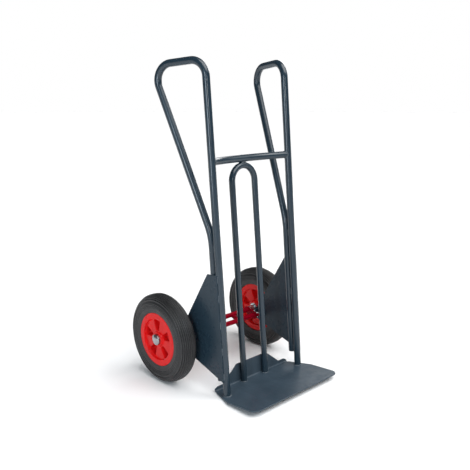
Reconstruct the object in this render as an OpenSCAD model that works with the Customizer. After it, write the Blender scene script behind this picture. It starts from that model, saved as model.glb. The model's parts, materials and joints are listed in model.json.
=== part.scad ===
// Two-wheeled hand truck: bent tube frame, pressed toe plate, sprung swing axle
// and two bearing wheels with puncture-proof tyres.
//
// Most places are written in the frame's own axes: X to the right, Y backward from
// the uprights' centre line, Z along the uprights from the top of the toe plate.
// stand() then leans the whole truck back until the plate's heel and the tyres
// both touch the floor, Z = 0, with the origin under the middle of the truck.

/* [Frame tubes] */
// Distance between the uprights' centre lines
frame_w = 397; // [360:1:440]
// Outside diameter of the main tubes
tube_d = 27; // [20:1:28]
// Wall thickness of the main tubes
tube_wall = 2; // [1.5:0.5:3]
// Height of the handle's front corner above the toe plate
handle_h = 1216.5; // [1100:1:1300]
// How far each grip reaches back from its upright
grip_reach = 222.6; // [180:1:240]
// How far each grip swings outward over its length
grip_flare = 60.8; // [0:1:80]
// Height at which the rear tube leaves its upright
knee_h = 600.7; // [520:1:680]
// Distance between an upright and its rear tube, centre to centre
rear_gap = 27.5; // [27.5:0.5:32]
// Height of the rear tube's lower end above the toe plate
rear_foot_h = 58; // [30:1:70]
// Bend radius of the grip's two corners
grip_bend_r = 60; // [50:1:80]
// Bend radius where the rear tube leaves its upright
knee_bend_r = 260; // [120:5:300]

/* [Cross tube and hoop] */
// Height of the cross tube above the toe plate
cross_h = 863.6; // [800:1:920]
// How far the cross tube bows back at its middle
cross_bow = 52.5; // [40:0.5:70]
// Outside diameter of the centre hoop's tube
hoop_d = 24; // [16:1:25]
// Distance between the hoop's legs, centre to centre
hoop_w = 118; // [90:1:150]

/* [Toe plate] */
// Width of the toe plate
toe_w = 471; // [440:1:520]
// Reach of the toe plate in front of the uprights' centre line
toe_reach = 181.3; // [150:1:240]
// Thickness of the toe plate
toe_t = 5; // [4:0.5:8]
// Radius of the toe plate's front corners
toe_corner_r = 32; // [10:1:50]
// Height of the riser above the toe plate
riser_h = 73; // [50:1:90]
// Width of the riser along its top edge
riser_top_w = 164; // [150:1:190]
// Height of the low flange beside the riser
flange_h = 15; // [12:1:20]

/* [Side plates and swing axle] */
// Thickness of the side plates
side_t = 4; // [3:0.5:5]
// Height of the side plates' top edge above the toe plate
side_top_h = 461; // [420:1:500]
// Pivot's distance behind the uprights
pivot_y = 237; // [230:1:245]
// Pivot's height above the toe plate
pivot_h = 172; // [165:1:180]
// Axle's distance behind the uprights
axle_y = 276.5; // [272:0.5:282]
// Axle's height above the toe plate
axle_h = 190; // [186:0.5:194]
// Diameter of the pivot bar and of the axle
bar_d = 20; // [18:1:22]
// How far the axle swings down from its rest stop, in degrees
swing_max = 35; // [30:1:35]

/* [Wheels] */
// Tyre diameter
tyre_d = 350; // [340:1:360]
// Tyre width
tyre_w = 73; // [70:1:76]
// Rounding of the tyre's shoulders
tyre_shoulder_r = 30; // [20:1:32]
// Diameter of the rim's flanges
rim_d = 210; // [200:1:220]
// Distance between the middles of the two wheels
track = 534.3; // [532:0.5:545]
// Number of pockets in each face of the rim
rim_pockets = 5; // [4:1:6]

/* [Hidden] */
$fn = 64;

EPS = 0.1;              // overshoot of a cutting tool
GAP = 0.3;              // gap that a weld or a paint film fills
SNUG = 0.2;             // gap between pieces that only touch
RUN = 0.05;             // radial clearance of a running fit

tube_r = tube_d / 2;
upright_x = frame_w / 2;
hoop_r = hoop_d / 2;
bar_r = bar_d / 2;
wheel_r = tyre_d / 2;
wheel_x = track / 2;

// Toe plate: its fold, its riser and the hoop that stands against the riser
fold_r = 7;                                       // inner radius of the fold
hoop_y = cross_bow;                               // the hoop stands under the cross tube's middle
riser_gap = 0.5;                                  // gap that the weld between hoop and riser fills
riser_y = hoop_y + hoop_r + riser_gap;            // front face of the riser
fold_y = riser_y - fold_r;                        // where the flat plate ends and the fold begins
riser_foot_w = 308;                               // width of the riser where it meets the low flange
flange_w = 400;                                   // width of the fold and its low flange
flange_slant = 2.2;                               // run over rise of the flange's slanted ends
heel_w = 412;                                     // width of the plate at its heel
toe_side_y = -41;                                 // where the plate's sides start to taper
heel_corner_r = 9;                                // rounding of the plate's heel corners

// Side plates
side_x = upright_x + tube_r + GAP;                // inner face of a side plate
side_front_y = -3.5;                               // front edge of a side plate
side_rear_y = 47;                                 // rear end of its top edge
side_low_h = 55;                                  // its lower front corner
side_nose_r = 18;                                 // rounding of its nose, around the pivot

// Swing axle, across the right half of the truck
link_x = 190;                                     // inner face of a link plate
link_t = 6;
link_pivot_r = 17;
link_axle_r = 15;
link_web_w = 26;                                  // width of the link between its two eyes
link_tail = 28;                                   // where the stops meet the tail, from the pivot
link_tail_r = 6;                                  // half the tail's width
link_tail_end = 5;                                // how far the tail runs past the stops
link_tail_angle = 165;                            // direction of the tail at rest
stop_pin_r = 4;
stop_gap = 0.15;
lug_x = 98;
lug_t = 8;
lug_w = 15;
bar_end = 3.4;                                    // how far a bar runs past its groove
washer_t = 2;
groove_w = 1.4;                                   // groove for a clip
groove_depth = 0.8;
spring_wire_r = 1.4;
spring_coil_r = 13.2;
spring_turns = 3;
spring_inner_x = link_x + link_t + 2.3;           // the spring stands clear of the link plate
spring_outer_x = side_x - 2.6;                    // and of the side plate
sleeve_wall = 3.5;
sleeve_x = link_x + link_t + 6.5;                 // the axle sleeve starts beyond the spring's hook

// Wheel, across its own width: X runs outward from the middle of the tyre
hub_in = -36;
hub_out = 31;
hub_r = 30;
rim_in = -30;
rim_out = 33;
rim_seat_r = rim_d / 2 - 10;
rim_lip_r = rim_d / 2 - 24;                       // inner edge of the raised flange ring
rim_flange_t = 4;
rim_face_in = -22;                                // faces of the ribs between the pockets
rim_face_out = 25;
web_t = 9;
pocket_r1 = 34;
pocket_r2 = rim_lip_r - 2;
rib_angle = 42;
bearing_r = 21;                                   // outside radius of the ball bearings
bearing_w = 12;
ball_r = 3.1;
ball_count = 8;
ball_pitch_r = (bearing_r + bar_r) / 2;
ring_gap = 4;                                     // gap between a bearing's two rings
cap_r = 22;
cap_skirt_h = 8;
cap_dome_h = 5.8;

// Lean: the heel's outer fold, a circle around (fold_y, fold_r), and the tyre,
// a circle around the axle, both roll down onto the same floor line.
heel_r = fold_r + toe_t;
heel_to_axle = norm([axle_y - fold_y, axle_h - fold_r]);
lean = acos((wheel_r - heel_r) / heel_to_axle) - atan2(axle_y - fold_y, axle_h - fold_r);
stand_z = heel_r + fold_y * sin(lean) - fold_r * cos(lean);
front_end = -toe_reach * cos(lean) - toe_t * sin(lean);
rear_end = axle_y * cos(lean) + axle_h * sin(lean) + wheel_r;
stand_y = -(front_end + rear_end) / 2;

module stand() {
    translate([0, stand_y, stand_z]) rotate([-lean, 0, 0]) children();
}

// Copies a shape of the right side to the left side as well
module both() {
    children();
    mirror([1, 0, 0]) children();
}

// ---------------------------------------------------------------- bent tubes

function unit(v) = v / norm(v);
function heading(p, i) = unit(p[i + 1] - p[i]);
function turn(p, i) = acos(heading(p, i - 1) * heading(p, i));
// Length of straight that the bend at corner i takes from each side
function setback(p, radii, i) =
    i == 0 || i == len(p) - 1 ? 0 : radii[i - 1] * tan(turn(p, i) / 2);

// Moves a shape so that its X, Y and Z run along ex, ey and ez from origin
module place(origin, ex, ey, ez) {
    translate(origin)
        rotate([atan2(ey[2], ez[2]), -asin(ex[2]), atan2(ex[1], ex[0])])
        children();
}

// A pipe section: a disc of radius r with a hole of radius hole in it
module section(r, hole) {
    difference() {
        circle(r);
        circle(hole);
    }
}

module straight(a, b, r, hole) {
    skew = [1, 0.3, 0.1];               // a direction that no tube runs in
    ez = unit(b - a);
    ex = unit(cross(ez, skew));
    place(a, ex, cross(ez, ex), ez) linear_extrude(norm(b - a)) section(r, hole);
}

module bend(p, i, bend_r, r, hole) {
    d1 = heading(p, i - 1);
    d2 = heading(p, i);
    inward = unit(d2 - (d1 * d2) * d1);
    start = p[i] - d1 * bend_r * tan(turn(p, i) / 2);
    place(start + inward * bend_r, -inward, d1, cross(-inward, d1))
        rotate_extrude(angle = turn(p, i), $fn = 128)
            translate([bend_r, 0]) section(r, hole);
}

// A pipe along the points p, with one bend radius for each inner corner. Each
// straight runs a little way over its bends, whose walls are a trace thinner.
module bent_pipe(p, radii, r, hole) {
    thinner = 0.02;
    lap = 0.3;
    last = len(p) - 2;
    for (i = [0 : last]) {
        from = setback(p, radii, i) - (i > 0 ? lap : 0);
        to = setback(p, radii, i + 1) - (i < last ? lap : 0);
        straight(p[i] + heading(p, i) * from, p[i + 1] - heading(p, i) * to, r, hole);
    }
    for (i = [1 : last]) bend(p, i, radii[i - 1], r - thinner, hole + thinner);
}

// A ring around the X axis, from x1 to x2
module ring_x(x1, x2, r, hole) {
    translate([x1, 0, 0]) rotate([90, 0, 90]) linear_extrude(x2 - x1) section(r, hole);
}

// ---------------------------------------------------------------- frame

module side_tube() {
    path = [
        [upright_x, 0, GAP],
        [upright_x, 0, handle_h],
        [upright_x + grip_flare, grip_reach, handle_h - 1],
        [upright_x, rear_gap, knee_h],
        [upright_x, rear_gap, rear_foot_h]
    ];
    color("#3b4752")
    bent_pipe(path, [grip_bend_r, grip_bend_r, knee_bend_r], tube_r, tube_r - tube_wall);
}

// Bowed back in a plane square to the uprights, and notched to fit round them
module cross_tube() {
    arc_r = (upright_x * upright_x + cross_bow * cross_bow) / (2 * cross_bow);
    half_angle = asin(upright_x / arc_r);
    color("#3b4752")
    difference() {
        translate([0, cross_bow - arc_r, cross_h])
            rotate([0, 0, 90 - half_angle])
            rotate_extrude(angle = 2 * half_angle, $fn = 128)
            translate([arc_r, 0]) section(tube_r, tube_r - tube_wall);
        both()
            translate([upright_x, 0, cross_h - 2 * tube_d])
            cylinder(r = tube_r + GAP, h = 4 * tube_d);
    }
}

module center_hoop() {
    top = cross_h - tube_r - hoop_r - GAP;
    half = hoop_w / 2;
    color("#3b4752")
    difference() {
        union() {
            both() translate([half, hoop_y, GAP]) linear_extrude(top - half - GAP)
                section(hoop_r, hoop_r - tube_wall);
            translate([0, hoop_y, top - half]) rotate([90, 0, 0])
                rotate_extrude(angle = 180, $fn = 128)
                translate([half, 0]) section(hoop_r, hoop_r - tube_wall);
        }
        // the legs' feet are trimmed to the curve of the fold
        translate([-hoop_w, fold_y, -EPS]) difference() {
            cube([2 * hoop_w, 2 * fold_r, fold_r + EPS]);
            translate([0, 0, fold_r + EPS]) rotate([0, 90, 0])
                cylinder(r = fold_r - GAP, h = 2 * hoop_w);
        }
    }
}

// Outline of the flat plate, with rounded front corners and heel corners
module toe_outline() {
    front = -toe_reach + toe_corner_r;
    inset = toe_w / 2 - toe_corner_r;
    heel = heel_w / 2 - heel_corner_r;
    both() translate([inset, front]) circle(toe_corner_r);
    translate([-inset, -toe_reach]) square([2 * inset, toe_corner_r]);
    translate([-toe_w / 2, front]) square([toe_w, toe_side_y - front]);
    polygon([
        [-toe_w / 2, toe_side_y], [toe_w / 2, toe_side_y],
        [heel_w / 2, fold_y - heel_corner_r], [heel, fold_y - heel_corner_r],
        [heel, fold_y], [-heel, fold_y],
        [-heel, fold_y - heel_corner_r], [-heel_w / 2, fold_y - heel_corner_r]
    ]);
    both() translate([heel, fold_y - heel_corner_r]) circle(heel_corner_r);
}

// Outline of the riser and its low flange, seen from the front
module riser_outline() {
    end_x = flange_w / 2;
    end_top = fold_r + 1;                       // the flange's ends are cut off slantwise
    corner_x = end_x - flange_slant * (flange_h - end_top);
    polygon([
        [-end_x, fold_r], [end_x, fold_r], [end_x, end_top], [corner_x, flange_h],
        [riser_foot_w / 2, flange_h], [riser_top_w / 2, riser_h],
        [-riser_top_w / 2, riser_h], [-riser_foot_w / 2, flange_h],
        [-corner_x, flange_h], [-end_x, end_top]
    ]);
}

module toe_plate() {
    color("#3b4752")
    union() {
        translate([0, 0, -toe_t]) linear_extrude(toe_t) toe_outline();
        // the fold, a quarter of a pipe
        translate([-flange_w / 2, fold_y, fold_r]) rotate([90, 0, 90])
            linear_extrude(flange_w) intersection() {
                section(heel_r, fold_r);
                translate([0, -heel_r]) square(heel_r);
            }
        translate([0, riser_y + toe_t, 0]) rotate([90, 0, 0])
            linear_extrude(toe_t) riser_outline();
    }
}

// The point where a line from p touches the circle around c, on its left (side 1)
// or right (side -1) as seen from p
function touch(p, c, r, side) =
    let (d = norm(c - p), a = atan2(c[1] - p[1], c[0] - p[0]), b = asin(r / d))
    p + sqrt(d * d - r * r) * [cos(a + side * b), sin(a + side * b)];

module side_plate() {
    nose = [pivot_y, pivot_h];
    top = [side_rear_y, side_top_h];
    low = [side_front_y, side_low_h];
    inside_r = side_nose_r - EPS;       // the edges run just inside the nose, and cross it
    color("#36414b")
    translate([side_x, 0, 0]) rotate([90, 0, 90]) difference() {
        union() {
            linear_extrude(side_t) polygon([
                low, [side_front_y, side_top_h], top,
                touch(top, nose, inside_r, 1), touch(low, nose, inside_r, -1)
            ]);
            translate(nose) cylinder(r = side_nose_r, h = side_t);
        }
        translate([pivot_y, pivot_h, -EPS]) cylinder(r = bar_r + RUN, h = side_t + 2 * EPS);
    }
}

// Plugs that close the rear tubes' lower ends
module lower_tube_caps() {
    head = 3;
    stem = 12;
    color("#22272c")
    both() translate([upright_x, rear_gap, rear_foot_h]) {
        translate([0, 0, -head]) cylinder(r = tube_r, h = head);
        cylinder(r = tube_r - tube_wall - RUN, h = stem);
    }
}

// ---------------------------------------------------------------- swing axle

axle_angle = atan2(axle_h - pivot_h, axle_y - pivot_y);
link_len = norm([axle_y - pivot_y, axle_h - pivot_h]);
stop_reach = link_tail_r + stop_pin_r + stop_gap;

module at_pivot() {
    translate([0, pivot_y, pivot_h]) children();
}

module at_axle() {
    translate([0, axle_y, axle_h]) children();
}

// Centre of a stop pin, seen from the pivot in the side view: side 1 holds the tail
// at rest and side -1 holds it when the axle has swung down by swing_max
function stop_place(side) =
    let (a = link_tail_angle - (side < 0 ? swing_max : 0))
    link_tail * [cos(a), sin(a)] + side * stop_reach * [-sin(a), cos(a)];

module swing_stop_pins() {
    color("#3b4752")
    both() at_pivot() for (side = [1, -1]) {
        spot = stop_place(side);
        translate([0, spot[0], spot[1]]) ring_x(link_x - 1, side_x, stop_pin_r, 0);
    }
}

// A round bar with a groove for a clip near each end
module bar(groove_x) {
    end_x = groove_x + bar_end;
    ring_x(-end_x, end_x, bar_r - groove_depth, 0);
    ring_x(-groove_x, groove_x, bar_r, 0);
    both() ring_x(groove_x + groove_w, end_x, bar_r, 0);
}

pivot_washer_x = side_x + side_t + SNUG;
pivot_groove_x = pivot_washer_x + washer_t + SNUG;
inner_washer_x = wheel_x + hub_in - SNUG - washer_t;
outer_washer_x = wheel_x + hub_out + SNUG;
axle_groove_x = outer_washer_x + washer_t + SNUG;

module pivot_bar() {
    color("#b3152a") at_pivot() bar(pivot_groove_x);
}

module axle() {
    color("#b3152a") at_axle() bar(axle_groove_x);
}

module link_plate() {
    color("#b3152a")
    at_pivot() translate([link_x, 0, 0]) rotate([90, 0, 90]) linear_extrude(link_t)
    difference() {
        union() {
            circle(link_pivot_r);
            rotate(axle_angle) translate([link_len, 0]) circle(link_axle_r);
            rotate(axle_angle) translate([0, -link_web_w / 2]) square([link_len, link_web_w]);
            rotate(link_tail_angle) translate([0, -link_tail_r])
                square([link_tail + link_tail_end, 2 * link_tail_r]);
        }
        circle(bar_r + RUN);
        rotate(axle_angle) translate([link_len, 0]) circle(bar_r + RUN);
    }
}

// Flat lugs between the two bars
module bar_lugs() {
    color("#b3152a")
    both() at_pivot() translate([lug_x - lug_t / 2, 0, 0]) rotate([90, 0, 90]) linear_extrude(lug_t)
    rotate(axle_angle) difference() {
        translate([0, -lug_w / 2]) square([link_len, lug_w]);
        circle(bar_r + RUN);
        translate([link_len, 0]) circle(bar_r + RUN);
    }
}

// Torsion spring: hooked over the rest stop's pin, coiled round the pivot bar and
// hooked over the axle. The upper tangent of two circles has the normal upper().
function upper(c1, r1, c2, r2) =
    atan2(c2[1] - c1[1], c2[0] - c1[0]) + acos((r1 - r2) / norm(c2 - c1));
function arc_point(x, c, r, a) = [x, c[0] + r * cos(a), c[1] + r * sin(a)];

module return_spring() {
    sides = 8;
    hook = 150;
    pin_c = stop_place(1);
    axle_c = [axle_y - pivot_y, axle_h - pivot_h];
    pin_hook_r = stop_pin_r + spring_wire_r + SNUG;
    axle_hook_r = bar_r + spring_wire_r + SNUG;
    start = upper(pin_c, pin_hook_r, [0, 0], spring_coil_r);
    end = upper([0, 0], spring_coil_r, axle_c, axle_hook_r);
    sweep = 360 * spring_turns + start - end;
    path = concat(
        [for (k = [0 : 6]) arc_point(spring_outer_x, pin_c, pin_hook_r, start + hook * (1 - k / 6))],
        [for (k = [0 : 54]) arc_point(
            spring_outer_x + (spring_inner_x - spring_outer_x) * k / 54,
            [0, 0], spring_coil_r, start - sweep * k / 54
        )],
        [for (k = [0 : 8]) arc_point(spring_inner_x, axle_c, axle_hook_r, end - hook * k / 8)]
    );
    last = len(path) - 1;
    function run(k) = unit(path[min(k + 1, last)] - path[max(k - 1, 0)]);
    function across(k) = unit(cross(run(k), [1, 0, 0]));
    points = [for (k = [0 : last]) for (s = [0 : sides - 1])
        path[k] + spring_wire_r * (
            cos(360 * s / sides) * across(k) + sin(360 * s / sides) * cross(across(k), run(k))
        )];
    walls = [for (k = [0 : last - 1]) for (s = [0 : sides - 1])
        [k * sides + s, k * sides + (s + 1) % sides,
            (k + 1) * sides + (s + 1) % sides, (k + 1) * sides + s]];
    ends = [
        [for (s = [sides - 1 : -1 : 0]) s],
        [for (s = [0 : sides - 1]) last * sides + s]
    ];
    color("#c3c7ca") at_pivot() polyhedron(points, concat(walls, ends));
}

module pivot_washers() {
    color("#c3c7ca") both() at_pivot()
        ring_x(pivot_washer_x, pivot_washer_x + washer_t, 16, bar_r + RUN);
}

// A spring clip sprung into the groove at x of a bar
module clip(x) {
    side_gap = 0.1;
    ring_x(x + side_gap, x + groove_w - side_gap, bar_r + 2.6, bar_r - groove_depth + side_gap);
}

module pivot_clips() {
    color("#7d8286") both() at_pivot() clip(pivot_groove_x);
}

module axle_clips() {
    color("#7d8286") both() at_axle() clip(axle_groove_x);
}

// Tubes on the axle that keep the wheels away from the link plates
module axle_sleeves() {
    color("#c3c7ca") both() at_axle()
        ring_x(sleeve_x, inner_washer_x - SNUG, bar_r + sleeve_wall, bar_r + RUN);
}

module axle_washers() {
    color("#c3c7ca") both() at_axle() {
        ring_x(inner_washer_x, inner_washer_x + washer_t, 17, bar_r + RUN);
        ring_x(outer_washer_x, outer_washer_x + washer_t, 15, bar_r + RUN);
    }
}

// Places its shape at both bearings of the right wheel, each with its inner end at X = 0
module at_bearings() {
    at_axle() translate([wheel_x + hub_in, 0, 0]) children();
    at_axle() translate([wheel_x + hub_out - bearing_w, 0, 0]) children();
}

// The groove in which the balls run
module ball_track() {
    translate([bearing_w / 2, 0, 0]) rotate([0, 90, 0])
        rotate_extrude() translate([ball_pitch_r, 0]) circle(ball_r + 0.1);
}

module bearing_inner_rings() {
    color("#aeb4b8") both() at_bearings() difference() {
        ring_x(0, bearing_w, ball_pitch_r - ring_gap / 2, bar_r + RUN);
        ball_track();
    }
}

module bearing_spacers() {
    color("#8f9599") both() at_axle()
        ring_x(wheel_x + hub_in + bearing_w + 0.1, wheel_x + hub_out - bearing_w - 0.1,
            bar_r + 3, bar_r + RUN);
}

// ---------------------------------------------------------------- wheels

module at_wheel() {
    translate([wheel_x, axle_y, axle_h]) children();
}

// Revolves a section drawn with its radius along X and the wheel's width along Y
module revolve_wheel() {
    rotate([0, 90, 0]) rotate_extrude($fn = 180) children();
}

module tyre() {
    half = tyre_w / 2;
    crown = half - tyre_shoulder_r;
    color("#26282a")
    at_wheel() revolve_wheel() difference() {
        union() {
            translate([rim_seat_r + SNUG, -half])
                square([wheel_r - tyre_shoulder_r - rim_seat_r, tyre_w]);
            translate([rim_seat_r, -crown]) square([wheel_r - rim_seat_r, 2 * crown]);
            for (side = [-1, 1])
                translate([wheel_r - tyre_shoulder_r, side * crown]) circle(tyre_shoulder_r);
        }
        translate([0, rim_out - rim_flange_t - SNUG]) square([rim_d / 2 + SNUG, half]);
        translate([0, rim_in + rim_flange_t + SNUG - half]) square([rim_d / 2 + SNUG, half]);
    }
}

// A hub and a rim joined by a web, with wedge-shaped pockets in both faces
module rim() {
    step = 360 / rim_pockets;
    half_pocket = (step - rib_angle) / 2;
    far = 2 * pocket_r2;
    color("#d8262b")
    at_wheel() difference() {
        union() {
            ring_x(rim_face_in, rim_face_out, rim_seat_r, 0);
            ring_x(rim_in, rim_out, rim_seat_r, rim_lip_r);
            ring_x(rim_in, rim_in + rim_flange_t, rim_d / 2, rim_lip_r);
            ring_x(rim_out - rim_flange_t, rim_out, rim_d / 2, rim_lip_r);
            ring_x(hub_in, hub_out, hub_r, 0);
        }
        for (k = [0 : rim_pockets - 1])
        for (end = [[rim_in, -web_t / 2], [web_t / 2, rim_out]])
            translate([end[0], 0, 0]) rotate([90, 0, 90]) rotate(90 + k * step)
            linear_extrude(end[1] - end[0]) intersection() {
                section(pocket_r2, pocket_r1);
                polygon([
                    [0, 0],
                    far * [cos(half_pocket), -sin(half_pocket)],
                    far * [cos(half_pocket), sin(half_pocket)]
                ]);
            }
        ring_x(hub_in - EPS, hub_out + EPS, bearing_r - 3, 0);
        ring_x(hub_in - EPS, hub_in + bearing_w, bearing_r + RUN, 0);
        ring_x(hub_out - bearing_w, hub_out + EPS, bearing_r + RUN, 0);
    }
}

module bearing_outer_rings() {
    color("#aeb4b8") at_bearings() difference() {
        ring_x(0, bearing_w, bearing_r, ball_pitch_r + ring_gap / 2);
        ball_track();
    }
}

module bearing_balls() {
    color("#d5d9dc") at_bearings() for (k = [0 : ball_count - 1])
        rotate([k * 360 / ball_count, 0, 0]) translate([bearing_w / 2, 0, ball_pitch_r])
        sphere(ball_r, $fn = 32);
}

// A thin shallow dome on a skirt, which closes the end of the hub
module hub_cap() {
    dome_r = (cap_r * cap_r + cap_dome_h * cap_dome_h) / (2 * cap_dome_h);
    wall = 1.2;
    lap = 1;                                    // the dome runs a little way into its skirt
    base = hub_out + SNUG;
    top = base + cap_skirt_h + cap_dome_h;
    color("#9aa0a3")
    at_wheel() revolve_wheel() union() {
        translate([cap_r - wall, base]) square([wall, cap_skirt_h]);
        intersection() {
            translate([0, base + cap_skirt_h - lap]) square([cap_r, cap_dome_h + lap + EPS]);
            translate([0, top - dome_r]) section(dome_r, dome_r - wall);
        }
    }
}

module left() {
    stand() mirror([1, 0, 0]) children();
}

left() side_tube();  // left_side_tube
stand() side_tube();  // right_side_tube
stand() cross_tube();
stand() center_hoop();
stand() toe_plate();
left() side_plate();  // left_side_plate
stand() side_plate();  // right_side_plate
stand() lower_tube_caps();
stand() swing_stop_pins();
stand() pivot_bar();
stand() axle();
left() link_plate();  // left_link_plate
stand() link_plate();  // right_link_plate
stand() bar_lugs();
left() return_spring();  // left_return_spring
stand() return_spring();  // right_return_spring
stand() pivot_washers();
stand() pivot_clips();
stand() axle_sleeves();
stand() axle_washers();
stand() axle_clips();
stand() bearing_inner_rings();
stand() bearing_spacers();
left() tyre();  // left_tyre
left() rim();  // left_rim
left() bearing_outer_rings();  // left_bearing_outer_rings
left() bearing_balls();  // left_bearing_balls
left() hub_cap();  // left_hub_cap
stand() tyre();  // right_tyre
stand() rim();  // right_rim
stand() bearing_outer_rings();  // right_bearing_outer_rings
stand() bearing_balls();  // right_bearing_balls
stand() hub_cap();  // right_hub_cap
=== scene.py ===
import json
import math
import random

import bmesh
import bpy
from mathutils import Matrix, Vector

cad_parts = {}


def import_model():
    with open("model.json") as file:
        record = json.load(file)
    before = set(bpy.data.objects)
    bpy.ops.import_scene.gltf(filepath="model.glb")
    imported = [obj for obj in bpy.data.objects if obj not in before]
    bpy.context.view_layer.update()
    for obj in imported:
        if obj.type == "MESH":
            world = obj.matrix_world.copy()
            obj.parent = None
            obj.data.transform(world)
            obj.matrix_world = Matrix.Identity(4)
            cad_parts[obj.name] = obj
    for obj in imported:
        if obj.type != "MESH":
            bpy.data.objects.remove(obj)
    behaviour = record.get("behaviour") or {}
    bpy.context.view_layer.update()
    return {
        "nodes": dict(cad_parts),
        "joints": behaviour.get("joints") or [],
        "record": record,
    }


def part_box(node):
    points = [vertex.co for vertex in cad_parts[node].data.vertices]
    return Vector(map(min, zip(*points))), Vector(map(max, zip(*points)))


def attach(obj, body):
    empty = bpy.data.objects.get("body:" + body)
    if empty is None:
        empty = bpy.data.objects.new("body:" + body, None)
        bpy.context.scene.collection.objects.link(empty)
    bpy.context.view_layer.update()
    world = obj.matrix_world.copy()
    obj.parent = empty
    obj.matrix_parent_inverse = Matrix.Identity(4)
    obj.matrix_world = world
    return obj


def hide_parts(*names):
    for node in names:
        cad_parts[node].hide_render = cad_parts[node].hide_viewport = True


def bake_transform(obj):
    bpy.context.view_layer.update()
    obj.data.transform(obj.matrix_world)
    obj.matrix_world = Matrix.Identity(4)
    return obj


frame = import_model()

# ------------------------------------------------------------------ the truck's own axes
# X to the right, Y back from the uprights' centre line, Z up along the uprights from the
# toe plate's top, in metres. The record's mount, the plate's underside, gives the lean.

JOINTS = {joint["name"]: joint for joint in frame["joints"]}
UNDERSIDE = frame["record"]["mounts"][0]
UNDERSIDE_Y = -0.060                # where the mount's point is on the plate's underside
TOE_T = 0.005
UP = -Vector(UNDERSIDE["axis"])
BACK = Vector((0.0, UP.z, -UP.y))
ORIGIN = Vector(UNDERSIDE["pos_m"]) - BACK * UNDERSIDE_Y + UP * TOE_T
TRUCK = Matrix((
    (1, BACK.x, UP.x, ORIGIN.x),
    (0, BACK.y, UP.y, ORIGIN.y),
    (0, BACK.z, UP.z, ORIGIN.z),
    (0, 0, 0, 1),
))


def in_truck(joint_name):
    """The joint's place in the truck's own axes."""
    return TRUCK.inverted() @ Vector(JOINTS[joint_name]["pos_m"])


PIVOT = in_truck("axle_swing")
AXLE = in_truck("right_wheel_spin")
WHEEL_X = AXLE.x
SIDES = {"left": -1, "right": 1}

# What keeps the outermost pieces inside the CAD model's box
PLAY = 0.00002

# Frame
TUBE_R = 0.0135
UPRIGHT_X = 0.1985
HANDLE_H = 1.2165
GRIP_REACH = 0.2226
GRIP_FLARE = 0.0608
KNEE_H = 0.6007
REAR_GAP = 0.0275
REAR_FOOT_H = 0.058
CROSS_H = 0.8636
CROSS_BOW = 0.0525
HOOP_R = 0.012
HOOP_X = 0.059
HOOP_TOP = CROSS_H - TUBE_R - HOOP_R
GRIP_BEND_R = 0.060
KNEE_BEND_R = 0.260

# Toe plate
TOE_HALF_W = 0.2355
TOE_REACH = 0.1813
TOE_CORNER_R = 0.032
TOE_SIDE_Y = -0.041
HEEL_HALF_W = 0.206
HEEL_CORNER_R = 0.009
FLANGE_HALF_W = 0.200
FLANGE_H = 0.015
FLANGE_SLANT = 2.2                  # run over rise
FOLD_R = 0.007
FOLD_Y = CROSS_BOW + HOOP_R + 0.0005 - FOLD_R
RISER_Y = FOLD_Y + FOLD_R
RISER_H = 0.073
RISER_TOP_HALF_W = 0.082
RISER_FOOT_HALF_W = 0.154

# Side plates
SIDE_X = UPRIGHT_X + TUBE_R + 0.0003
SIDE_T = 0.004
SIDE_TOP_H = 0.461
SIDE_LOW_H = 0.055
SIDE_FRONT_Y = -0.0035
SIDE_REAR_Y = 0.047
SIDE_NOSE_R = 0.018

# Swing axle
BAR_R = 0.010
RUN = 0.00005                       # clearance round the bars
LINK_X = 0.190
LINK_T = 0.006
LINK_PIVOT_R = 0.017
LINK_AXLE_R = 0.015
LINK_TAIL = 0.028
LINK_TAIL_R = 0.006
LINK_TAIL_END = 0.005
LINK_TAIL_ANGLE = math.radians(165)
SWING = math.radians(35)
GROOVE_INSET = 0.0034                # where a clip's groove starts, from the bar's end
CLIP_INSET = 0.0027
STOP_PIN_R = 0.004
STOP_GAP = 0.00015
STOP_REACH = LINK_TAIL_R + STOP_PIN_R + STOP_GAP
LUG_X = 0.098
LUG_T = 0.008
LUG_W = 0.015
WIRE_R = 0.0014
COIL_R = 0.0132
COIL_TURNS = 3
SPRING_IN_X = LINK_X + LINK_T + 0.0023
SPRING_OUT_X = SIDE_X - 0.0026
LINK_ANGLE = math.atan2(AXLE.z - PIVOT.z, AXLE.y - PIVOT.y)
LINK_LEN = math.hypot(AXLE.z - PIVOT.z, AXLE.y - PIVOT.y)

# Wheels, with the width measured outward from the tyre's middle
TYRE_R = 0.175
TYRE_HALF_W = 0.0365
SHOULDER_R = 0.030
RIM_R = 0.105
RIM_SEAT_R = 0.095
RIM_IN = -0.030
RIM_OUT = 0.033
RIM_LIP_R = 0.081
FACE_IN = -0.022
FACE_OUT = 0.025
HUB_IN = -0.036
HUB_OUT = 0.031
HUB_R = 0.030
WEB_HALF_T = 0.0045
POCKET_R1 = 0.034
POCKET_R2 = 0.079
POCKETS = 5
POCKET_HALF_ANGLE = math.radians(15)
BORE_R = 0.0180
CAP_R = 0.0217


# ------------------------------------------------------------------ making pieces

def finish_piece(obj, material, body, replaces=()):
    """Gives a piece its material, lets it ride and hides what it stands for."""
    obj.data.materials.clear()
    obj.data.materials.append(material)
    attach(obj, body)
    if replaces:
        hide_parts(*replaces)


def add_object(name, data):
    """Puts a new object with this mesh, curve, lamp or camera in the scene."""
    obj = bpy.data.objects.new(name, data)
    bpy.context.scene.collection.objects.link(obj)
    return obj


def piece(name, verts, faces):
    """A mesh object from vertices in the row frame, with its faces turned outward."""
    mesh = bpy.data.meshes.new(name)
    mesh.from_pydata([tuple(v) for v in verts], [], faces)
    obj = add_object(name, mesh)
    tidy_mesh(obj)
    return obj


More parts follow.
